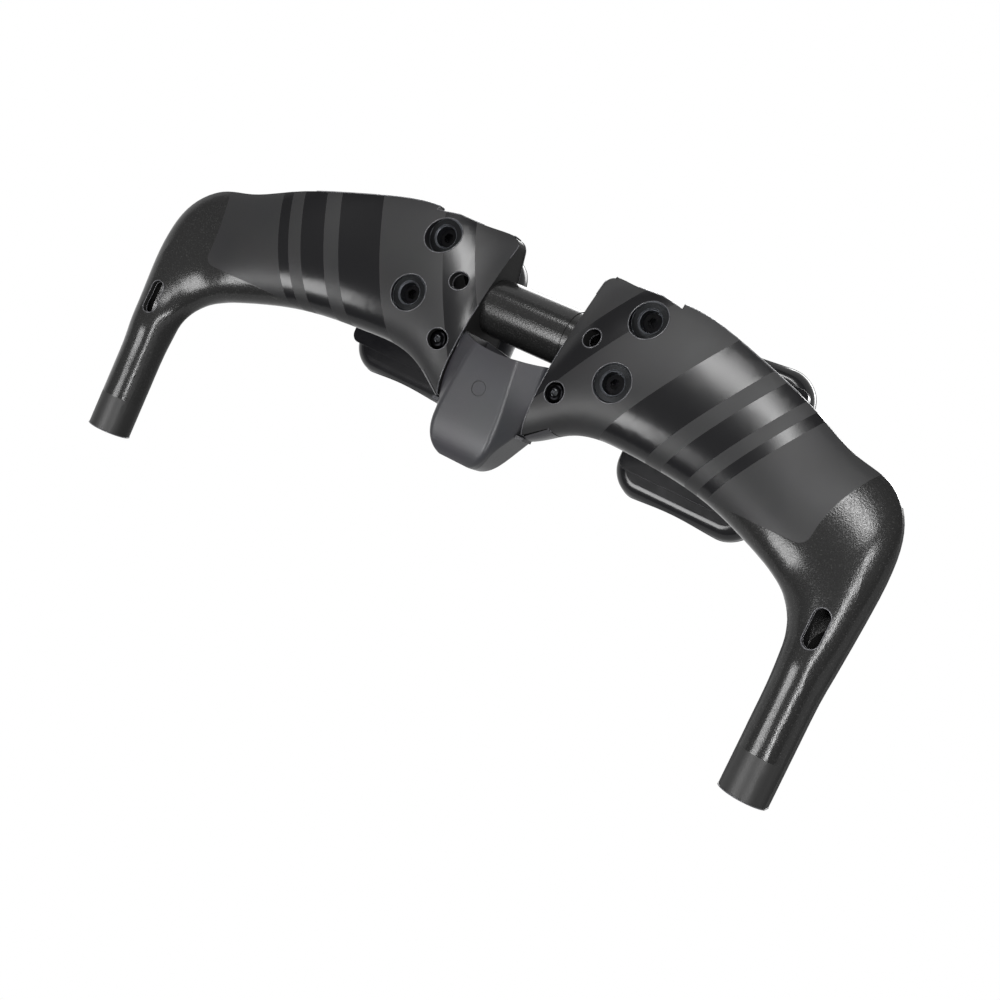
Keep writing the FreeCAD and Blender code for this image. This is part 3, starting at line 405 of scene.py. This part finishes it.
seam = addNode(tree, "ShaderNodeMath", {"operation": "MULTIPLY"}, {0: seam.outputs[0], 1: under.outputs[0]})
tone = addNode(tree, "ShaderNodeMix", {"data_type": "RGBA", 7: linear(coverLook["seam"])},
               {0: seam.outputs[0], 6: tone.outputs[2]})
rough = addNode(tree, "ShaderNodeMapRange",
                {"To Min": coverLook["rough"][0], "To Max": coverLook["rough"][1]},
                {"Value": grain.outputs["Fac"]})
bump = addNode(tree, "ShaderNodeBump", {"Strength": 0.25, "Distance": coverLook["height"] * mm},
               {"Height": grain.outputs["Fac"]})
setShader(tree, shader, {"Specular IOR Level": dullSurface},
          {"Base Color": tone.outputs[2], "Roughness": rough.outputs[0], "Normal": bump.outputs[0]})
dress(coverPlastic, "nose_cover", "cover_plug")

# black oxide steel: dark, a little oily, soft highlights
steelLook = {"colour": "#121214", "shade": 0.35, "rough": (0.18, 0.34), "grain": 3.0, "detail": 4.0,
             "shader": {"Metallic": 0.9}}
dress(grainMaterial("blackOxideSteel", steelLook), "front_bracket_bolts", "rear_bracket_bolts", "cup_screws")

# anodised aluminium bushings: turned rings round each bolt, drawn coarse because real ones are too fine to
# show, with the bevels inside the first and outside the second of the two radii painted paler as a painted
# highlight
ringLook = {"colour": "#131415", "groove": "#1b1c1e", "bevel": "#46484c", "rough": (0.26, 0.4),
            "boltX": 64.7, "boltY": (12.8, -22.9), "bevels": (6.75, 9.55), "feed": 0.5, "height": 0.05}
turnedRings, tree, shader, place = newMaterial("turnedAnodisedAluminium")
side, axes = bothSides(tree, place)
fromFront, fromRear = [fromAxis(tree, side, axes["Y"], (ringLook["boltX"], y)) for y in ringLook["boltY"]]
radius = addNode(tree, "ShaderNodeMath", {"operation": "MINIMUM"}, {0: fromFront, 1: fromRear}).outputs[0]
turns = addNode(tree, "ShaderNodeMath", {"operation": "MULTIPLY", 1: 2 * math.pi / (ringLook["feed"] * mm)},
                {0: radius})
turns = addNode(tree, "ShaderNodeMath", {"operation": "SINE"}, {0: turns.outputs[0]})
rough = addNode(tree, "ShaderNodeMapRange",
                {"From Min": -1.0, "To Min": ringLook["rough"][0], "To Max": ringLook["rough"][1]},
                {"Value": turns.outputs[0]})
tone = addNode(tree, "ShaderNodeMix",
               {"data_type": "RGBA", 6: linear(ringLook["colour"]), 7: linear(ringLook["groove"])},
               {0: turns.outputs[0]})
# painted highlight: the bevels are painted paler
inner, outer = [r * mm for r in ringLook["bevels"]]
within = addNode(tree, "ShaderNodeMath", {"operation": "LESS_THAN", 1: inner}, {0: radius})
beyond = addNode(tree, "ShaderNodeMath", {"operation": "GREATER_THAN", 1: outer}, {0: radius})
bevel = addNode(tree, "ShaderNodeMath", {"operation": "MAXIMUM"},
                {0: within.outputs[0], 1: beyond.outputs[0]})
tone = addNode(tree, "ShaderNodeMix", {"data_type": "RGBA", 7: linear(ringLook["bevel"])},
               {0: bevel.outputs[0], 6: tone.outputs[2]})
bump = addNode(tree, "ShaderNodeBump", {"Strength": 0.3, "Distance": ringLook["height"] * mm},
               {"Height": turns.outputs[0]})
setShader(tree, shader, {"Metallic": 0.85},
          {"Base Color": tone.outputs[2], "Roughness": rough.outputs[0], "Normal": bump.outputs[0]})
dress(turnedRings, "bolt_bushings")

# black anodised aluminium brackets: bead-blasted before the dye, so an even dull grain, drawn coarse to show
bracketLook = {"colour": "#17171a", "second": "#26262a", "rough": (0.38, 0.5), "grain": 0.6, "detail": 2.0,
               "bump": 0.2, "height": 0.1, "shader": {"Metallic": 0.7}}
blackAlloy = grainMaterial("blackAnodisedAluminium", bracketLook)
dress(blackAlloy, "right_bracket", "left_bracket")

# gloss nylon cups: black, polished mould, slight orange peel
cupLook = {"colour": "#101012", "second": "#161618", "rough": (0.14, 0.22), "grain": 6.0, "detail": 1.0,
           "bump": 0.05, "height": 0.4, "shader": {"Specular IOR Level": dullSurface}}
cupPlastic = grainMaterial("glossNylon", cupLook)
dress(cupPlastic, "right_cup", "left_cup")

# turned brass inserts and zinc plated steel washers, both with tool marks, drawn coarse to show
turnedLook = {"shade": 0.3, "rough": (0.22, 0.4), "grain": 0.8, "detail": 3.0, "shader": {"Metallic": 1.0}}
dress(grainMaterial("turnedBrass", {**turnedLook, "colour": "#b08d4a"}), "cover_inserts")
dress(grainMaterial("zincPlatedSteel", {**turnedLook, "colour": "#9a9da1"}), "cup_washers")

# hook-and-loop patches: short dull loops
patchLook = {"loop": "#2a2a2c", "gap": "#101011", "rough": 0.95, "size": 0.9, "height": 0.5}
patchFabric, tree, shader, place = newMaterial("wovenLoops")
loops = addNode(tree, "ShaderNodeTexVoronoi", {"Scale": 1 / (patchLook["size"] * mm)}, {"Vector": place})
tone = addNode(tree, "ShaderNodeMix",
               {"data_type": "RGBA", 6: linear(patchLook["loop"]), 7: linear(patchLook["gap"])},
               {0: loops.outputs["Distance"]})
bump = addNode(tree, "ShaderNodeBump", {"Strength": 0.8, "Distance": patchLook["height"] * mm},
               {"Height": loops.outputs["Distance"]})
setShader(tree, shader, {"Roughness": patchLook["rough"]},
          {"Base Color": tone.outputs[2], "Normal": bump.outputs[0]})
dress(patchFabric, "right_pad_patches", "left_pad_patches")
print("small pieces finished")

# cover screws: black button heads, domed and polished, with a hexagon socket painted paler as a painted glint
screwLook = {
    # the socket's paler tone and its reach are a painted glint
    "x": 37.6, "y": 28.8, "seat": -22.8, "sides": 36, "sharp": 35, "socketGlint": 1.8, "film": 1.5,
    "colour": "#060607", "second": "#0d0d0e", "paintedShadeAndGlint": "#404143", "rough": (0.16, 0.26),
    # radius and height from the seat, head down: the socket from its floor, the dome, the shank to its end
    "socket": [(0.01, -1.2), (1.7, -1.2), (1.7, -3.0)],
    "dome": [(2.2, -3.2), (3.2, -3.1), (4.1, -2.8), (4.8, -2.3), (5.25, -1.6), (5.45, -0.8), (5.5, 0.0)],
    "shank": [(2.0, 0.0), (2.0, 7.8), (0.01, 7.8)],
}
sixth = math.pi / 3
form = bmesh.new()
rings = []
for part in ("socket", "dome", "shank"):
    for radius, height in screwLook[part]:
        ring = []
        for k in range(screwLook["sides"]):
            turn = 2 * math.pi * k / screwLook["sides"]
            reach = radius
            if part == "socket":  # flat across each sixth of a turn
                reach = radius / math.cos((turn + sixth / 2) % sixth - sixth / 2)
            spot = (reach * math.cos(turn) * mm, reach * math.sin(turn) * mm, height * mm)
            ring.append(form.verts.new(spot))
        rings.append(ring)
form.faces.new(rings[0])
form.faces.new(rings[-1])
for low, high in zip(rings, rings[1:]):
    for k in range(screwLook["sides"]):
        form.faces.new((low[k - 1], low[k], high[k], high[k - 1]))
bmesh.ops.recalc_face_normals(form, faces=form.faces)
for face in form.faces:
    face.smooth = True
for edge in form.edges:
    edge.smooth = edge.calc_face_angle() < math.radians(screwLook["sharp"])
mesh = bpy.data.meshes.new("coverScrewHeads")
form.to_mesh(mesh)
form.free()
screwHeads = addObject("coverScrewHeads", mesh)

polishedSteel, tree, shader, place = newMaterial("polishedBlackSteel")
film = addNode(tree, "ShaderNodeTexNoise", {"Scale": 1 / (screwLook["film"] * mm), "Detail": 3.0},
               {"Vector": place})
tone = addNode(tree, "ShaderNodeMix",
               {"data_type": "RGBA", 6: linear(screwLook["colour"]), 7: linear(screwLook["second"])},
               {0: film.outputs["Fac"]})
side, axes = bothSides(tree, place)
fromScrew = fromAxis(tree, side, axes["Y"], (screwLook["x"], screwLook["y"]))
# painted glint: the socket is painted paler
socketGlint = addNode(tree, "ShaderNodeMath", {"operation": "LESS_THAN", 1: screwLook["socketGlint"] * mm}, {0: fromScrew})
tone = addNode(tree, "ShaderNodeMix", {"data_type": "RGBA", 7: linear(screwLook["paintedShadeAndGlint"])},
               {0: socketGlint.outputs[0], 6: tone.outputs[2]})
rough = addNode(tree, "ShaderNodeMapRange",
                {"To Min": screwLook["rough"][0], "To Max": screwLook["rough"][1]},
                {"Value": film.outputs["Fac"]})
setShader(tree, shader, {"Metallic": 1.0}, {"Base Color": tone.outputs[2], "Roughness": rough.outputs[0]})

pairTree, pairSockets, given = newTree("screwPair", {
    "First Place": "Vector", "Step": "Vector", "Finish": "Material"})
spots = addNode(pairTree, "GeometryNodeMeshLine", {"Count": 2},
                {"Start Location": given["First Place"], "Offset": given["Step"]})
row = addNode(pairTree, "GeometryNodeInstanceOnPoints", {},
              {"Points": spots.outputs[0], "Instance": given["Geometry"]})
closeTree(pairTree, row.outputs[0], given["Finish"])
growMesh(screwHeads, pairTree, pairSockets, {
    "First Place": (screwLook["x"] * mm, screwLook["y"] * mm, screwLook["seat"] * mm),
    "Step": (-2 * screwLook["x"] * mm, 0.0, 0.0), "Finish": polishedSteel})
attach(screwHeads, "root")
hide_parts("cover_screws")
print("cover screws made")

# clear lacquer over the bar's paint: thicker and glossier where it gathers along an edge, and painted paler
# there as a painted highlight
lacquerHighlightLook = {"colour": "#505053", "second": "#2a2a2c", "rough": (0.08, 0.18), "grain": 4.0, "detail": 2.0,
               "shader": {"Specular IOR Level": dullSurface}}
lacquerHighlight = grainMaterial("lacquerWithPaintedHighlight", lacquerHighlightLook)

# narrow rounded beads on the sharp edges, because every real edge has a small radius that catches the light
beadLook = {
    "sides": 6, "weld": 0.01,
    # none on the wing tips, which lie beyond and behind these, or on the clamp tube, which lies within this
    "skipBeyond": 150, "skipBehind": 60, "skipWithin": 27.2,
    # least bend of a piece's edges in degrees, the bead's radius and its finish
    "edges": {
        "base_bar": (60, 0.34, lacquerHighlight), "bolt_bushings": (38, 0.12, turnedRings),
        "right_bracket": (38, 0.3, blackAlloy), "left_bracket": (38, 0.3, blackAlloy),
        "right_cup": (38, 0.2, cupPlastic), "left_cup": (38, 0.2, cupPlastic),
    },
}
beadTree, beadSockets, given = newTree("edgeBead", {
    "Least Bend": "Float", "Skip Beyond": "Float", "Skip Behind": "Float", "Skip Within": "Float",
    "Bead Radius": "Float", "Sides": "Int", "Finish": "Material"})
joined = addNode(beadTree, "GeometryNodeMergeByDistance", {"Distance": beadLook["weld"] * mm},
                 {"Geometry": given["Geometry"]})
bend = addNode(beadTree, "GeometryNodeInputMeshEdgeAngle")
spot = addNode(beadTree, "GeometryNodeInputPosition")
side, axes = bothSides(beadTree, spot.outputs[0])
tests = []
for value, operation, limit in (
        (bend.outputs["Signed Angle"], "GREATER_THAN", "Least Bend"), (side, "GREATER_THAN", "Skip Beyond"),
        (axes["Y"], "LESS_THAN", "Skip Behind"), (side, "LESS_THAN", "Skip Within")):
    test = addNode(beadTree, "FunctionNodeCompare", {"data_type": "FLOAT", "operation": operation},
                   {0: value, 1: given[limit]})
    tests.append(test.outputs[0])
sharp, beyond, behind, within = tests
skipped = addNode(beadTree, "FunctionNodeBooleanMath", {"operation": "AND"}, {0: beyond, 1: behind})
skipped = addNode(beadTree, "FunctionNodeBooleanMath", {"operation": "OR"},
                  {0: skipped.outputs[0], 1: within})
wanted = addNode(beadTree, "FunctionNodeBooleanMath", {"operation": "NIMPLY"},
                 {0: sharp, 1: skipped.outputs[0]})
lines = addNode(beadTree, "GeometryNodeMeshToCurve", {},
                {"Mesh": joined.outputs[0], "Selection": wanted.outputs[0]})
ring = addNode(beadTree, "GeometryNodeCurvePrimitiveCircle", {},
               {"Resolution": given["Sides"], "Radius": given["Bead Radius"]})
swept = addNode(beadTree, "GeometryNodeCurveToMesh", {},
                {"Curve": lines.outputs[0], "Profile Curve": ring.outputs[0]})
smooth = addNode(beadTree, "GeometryNodeSetShadeSmooth", {}, {"Geometry": swept.outputs[0]})
closeTree(beadTree, smooth.outputs[0], given["Finish"])
for name, (leastBend, radius, finish) in beadLook["edges"].items():
    bead = addObject(name + "Edges", nodes[name].data.copy())
    growMesh(bead, beadTree, beadSockets, {
        "Least Bend": math.radians(leastBend), "Skip Beyond": beadLook["skipBeyond"] * mm,
        "Skip Behind": beadLook["skipBehind"] * mm, "Skip Within": beadLook["skipWithin"] * mm,
        "Bead Radius": radius * mm, "Sides": beadLook["sides"], "Finish": finish})
    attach(bead, "root")
    print(bead.name, len(bead.data.polygons), "faces")

# arm pads: foam in a knitted cover, swollen by a cloth simulation, then a seam and stitches
padLook = {
    "shrink": 0.7, "weld": 0.01, "voxel": 3.0, "pressure": 4.0, "frames": 20, "mostSwell": 2.2, "fill": 0.7,
    "restFacing": -0.35, "topFacing": 0.3,  # what looks down rests on the cup, what looks up is sewn
    # sewn border: its middle and half size on the right side, its corner, and the channel that it pulls down
    "middle": (93.5, 14.4), "half": (36.5, 41.5), "corner": 12.0, "channel": 0.9, "channelWidth": 4.5,
    "borderPoints": 40, "above": 100, "stitch": 3.4, "gap": 1.6, "thread": 0.42,
}


def toBorder(x, y):
    past = [abs(abs(x) - padLook["middle"][0]) - padLook["half"][0] + padLook["corner"],
            abs(y - padLook["middle"][1]) - padLook["half"][1] + padLook["corner"]]
    return abs(math.hypot(max(past[0], 0), max(past[1], 0)) + min(max(past), 0) - padLook["corner"])


# knitted polyester: rows of bent loops with dark gaps between them, soft and slightly fuzzy;
# real loops are under 1 mm, too fine to show
knitLook = {"gap": "#121214", "loop": "#2b2b2e", "rough": 0.9, "sheen": 0.25, "knit": 1.3, "height": 0.4,
            "bow": 1.6, "rib": 0.6, "cloud": 50.0, "cloudShade": 0.25}
padFabric, tree, shader, place = newMaterial("knittedPolyester")
axes = addNode(tree, "ShaderNodeSeparateXYZ", {}, {0: place})
pitch = 2 * math.pi / (knitLook["knit"] * mm)
wale = addNode(tree, "ShaderNodeMath", {"operation": "MULTIPLY", 1: pitch}, {0: axes.outputs["X"]})
course = addNode(tree, "ShaderNodeMath", {"operation": "MULTIPLY", 1: pitch}, {0: axes.outputs["Y"]})
wale = addNode(tree, "ShaderNodeMath", {"operation": "SINE"}, {0: wale.outputs[0]})
course = addNode(tree, "ShaderNodeMath", {"operation": "MULTIPLY_ADD", 1: knitLook["bow"]},
                 {0: wale.outputs[0], 2: course.outputs[0]})
course = addNode(tree, "ShaderNodeMath", {"operation": "SINE"}, {0: course.outputs[0]})
loop = addNode(tree, "ShaderNodeMath", {"operation": "MULTIPLY_ADD", 1: knitLook["rib"]},
               {0: wale.outputs[0], 2: course.outputs[0]})
highest = 1 + knitLook["rib"]
loop = addNode(tree, "ShaderNodeMapRange", {"From Min": -highest, "From Max": highest},
               {"Value": loop.outputs[0]})
cloud = addNode(tree, "ShaderNodeTexNoise", {"Scale": knitLook["cloud"], "Detail": 3.0}, {"Vector": place})
tone = addNode(tree, "ShaderNodeMix",
               {"data_type": "RGBA", 6: linear(knitLook["gap"]), 7: linear(knitLook["loop"])},
               {0: loop.outputs[0]})
tone = addNode(tree, "ShaderNodeMix",
               {"data_type": "RGBA", "blend_type": "MULTIPLY", 0: knitLook["cloudShade"]},
               {6: tone.outputs[2], 7: cloud.outputs["Color"]})
bump = addNode(tree, "ShaderNodeBump", {"Strength": 0.7, "Distance": knitLook["height"] * mm},
               {"Height": loop.outputs[0]})
setShader(tree, shader, {"Roughness": knitLook["rough"], "Sheen Weight": knitLook["sheen"]},
          {"Base Color": tone.outputs[2], "Normal": bump.outputs[0]})

for word in ("right", "left"):
    form = bmesh.new()
    form.from_mesh(nodes[word + "_pad"].data)
    bmesh.ops.remove_doubles(form, verts=form.verts, dist=padLook["weld"] * mm)
    bmesh.ops.recalc_face_normals(form, faces=form.faces)
    form.normal_update()
    for v in form.verts:
        v.co -= v.normal * (padLook["shrink"] * mm)
    mesh = bpy.data.meshes.new(word + "ArmPad")
    form.to_mesh(mesh)
    form.free()
    pad = addObject(word + "ArmPad", mesh)
    remesh = pad.modifiers.new("voxels", "REMESH")
    remesh.mode = "VOXEL"
    remesh.voxel_size = padLook["voxel"] * mm
    pad.data = meshOf(pad)
    pad.modifiers.remove(remesh)
    rest = [v.co.copy() for v in pad.data.vertices]
    pinned = pad.vertex_groups.new(name="restsOnCup")
    pinned.add([v.index for v in pad.data.vertices if v.normal.z < padLook["restFacing"]], 1.0, "REPLACE")
    cloth = pad.modifiers.new("swell", "CLOTH")
    cloth.settings.use_pressure = True
    cloth.settings.uniform_pressure_force = padLook["pressure"]
    cloth.settings.vertex_group_mass = "restsOnCup"
    cloth.settings.effector_weights.gravity = 0
    cloth.point_cache.frame_start = 1
    cloth.point_cache.frame_end = padLook["frames"]
    for k in range(1, padLook["frames"] + 1):
        scene.frame_set(k)
    swollen = meshOf(pad)
    pad.modifiers.remove(cloth)
    scene.frame_set(1)
    mostSwell = padLook["mostSwell"] * mm
    for v, start in zip(swollen.vertices, rest):
        move = v.co - start
        if move.length > mostSwell:
            v.co = start + move.normalized() * mostSwell
    pad.data = swollen
    for v in pad.data.vertices:
        share = 1 - toBorder(v.co.x / mm, v.co.y / mm) / padLook["channelWidth"]
        if v.normal.z > padLook["topFacing"] and share > 0:
            v.co.z -= padLook["channel"] * mm * math.sin(share * math.pi / 2) ** 2
    for face in pad.data.polygons:
        face.use_smooth = True
    rounder = pad.modifiers.new("smooth", "SUBSURF")
    rounder.levels = 1
    rounder.render_levels = 1
    pad.data.materials.clear()
    pad.data.materials.append(padFabric)
    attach(pad, "root")
    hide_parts(word + "_pad")
    print(pad.name, "made,", len(pad.data.vertices), "points")

# polyester thread: twisted, so a little uneven in colour, with a dull shine
threadLook = {"colour": "#2c2c2f", "second": "#4a4a4e", "rough": (0.7, 0.7), "grain": 0.5, "detail": 2.0,
              "shader": {}}
padThread = grainMaterial("polyesterThread", threadLook)

# stitches of the border, laid on the swollen pad
stitchTree, stitchSockets, given = newTree("stitchLine", {
    "Pad": "Object", "Above": "Float", "Step": "Float", "Stitch Size": "Vector", "Finish": "Material"})
line = addNode(stitchTree, "GeometryNodeMeshToCurve", {}, {"Mesh": given["Geometry"]})
line = addNode(stitchTree, "GeometryNodeResampleCurve", {"mode": "LENGTH"},
               {"Curve": line.outputs[0], "Length": given["Step"]})
under = addNode(stitchTree, "GeometryNodeObjectInfo", {}, {"Object": given["Pad"]})
fall = addNode(stitchTree, "GeometryNodeRaycast", {"Ray Direction": (0, 0, -1)},
               {"Target Geometry": under.outputs["Geometry"], "Ray Length": given["Above"]})
laid = addNode(stitchTree, "GeometryNodeSetPosition", {},
               {"Geometry": line.outputs[0], "Position": fall.outputs["Hit Position"]})
tangent = addNode(stitchTree, "GeometryNodeInputTangent")
turn = addNode(stitchTree, "FunctionNodeAlignRotationToVector", {"axis": "Y"}, {"Vector": tangent.outputs[0]})
bud = addNode(stitchTree, "GeometryNodeMeshUVSphere", {"Segments": 8, "Rings": 6, "Radius": 1.0})
row = addNode(stitchTree, "GeometryNodeInstanceOnPoints", {}, {
    "Points": laid.outputs[0], "Instance": bud.outputs["Mesh"], "Rotation": turn.outputs[0],
    "Scale": given["Stitch Size"]})
smooth = addNode(stitchTree, "GeometryNodeSetShadeSmooth", {}, {"Geometry": row.outputs[0]})
closeTree(stitchTree, smooth.outputs[0], given["Finish"])
for word, way in (("right", 1), ("left", -1)):
    count = padLook["borderPoints"]
    corners = []
    for k in range(count):
        turn = 2 * math.pi * (k + 0.5) / count
        ways = (math.cos(turn), math.sin(turn))
        x, y = [middle + math.copysign(half - padLook["corner"], share) + padLook["corner"] * share
                for middle, half, share in zip(padLook["middle"], padLook["half"], ways)]
        corners.append((way * x * mm, y * mm, padLook["above"] * mm))
    mesh = bpy.data.meshes.new(word + "PadStitches")
    mesh.from_pydata(corners, [(k, (k + 1) % count) for k in range(count)], [])
    stitches = addObject(word + "PadStitches", mesh)
    growMesh(stitches, stitchTree, stitchSockets, {
        "Pad": bpy.data.objects[word + "ArmPad"], "Above": padLook["above"] * mm,
        "Step": (padLook["stitch"] + padLook["gap"]) * mm,
        "Stitch Size": (padLook["thread"] * mm, padLook["stitch"] / 2 * mm, padLook["thread"] * mm),
        "Finish": padThread})
    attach(stitches, "root")
    print(stitches.name, len(stitches.data.polygons), "faces")
